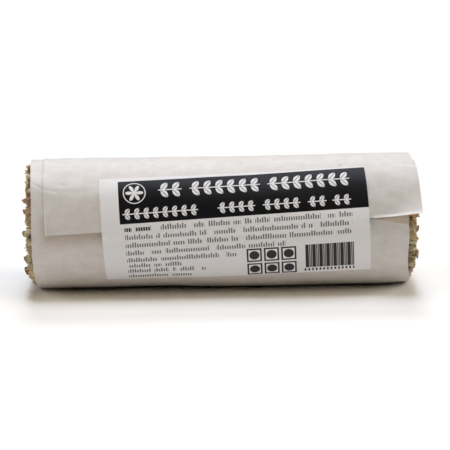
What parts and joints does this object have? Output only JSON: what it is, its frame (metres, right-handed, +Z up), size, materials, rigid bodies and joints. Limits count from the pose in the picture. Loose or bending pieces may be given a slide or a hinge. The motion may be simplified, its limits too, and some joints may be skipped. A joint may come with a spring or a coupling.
{
  "type": "sage smudge stick",
  "caption": "Short bundle of dried leafy sage sprigs bound with cotton thread, trimmed at both ends and rolled in one sheet of paper that a sticker holds shut.",
  "frame": {"origin": "on the surface that the stick lies on, below the middle of its length and width", "axes": "+X along the stick, +Z up, and -Y towards the side with the sticker and the sheet's free edge"},
  "size_m": [0.1, 0.0338, 0.033],
  "materials": {
    "paper": "matte",
    "sticker": "satin",
    "thread": "matte",
    "sage_grey_green": "matte",
    "sage_olive": "matte",
    "sage_straw": "matte",
    "sage_brown": "matte"
  },
  "bodies": {
    "root": {"paper_roll": "paper", "sticker": "sticker", "cotton_thread": "thread", "sage_sprig_01": "sage_grey_green", "sage_sprig_02": "sage_olive", "sage_sprig_03": "sage_straw", "sage_sprig_04": "sage_brown", "sage_sprig_05": "sage_grey_green", "sage_sprig_06": "sage_olive", "sage_sprig_07": "sage_straw", "sage_sprig_08": "sage_brown", "sage_sprig_09": "sage_grey_green", "sage_sprig_10": "sage_olive", "sage_sprig_11": "sage_straw", "sage_sprig_12": "sage_brown", "sage_sprig_13": "sage_grey_green", "sage_sprig_14": "sage_olive", "sage_sprig_15": "sage_straw", "sage_sprig_16": "sage_brown", "sage_sprig_17": "sage_grey_green", "sage_sprig_18": "sage_olive", "sage_sprig_19": "sage_straw"}
  },
  "joints": []
}
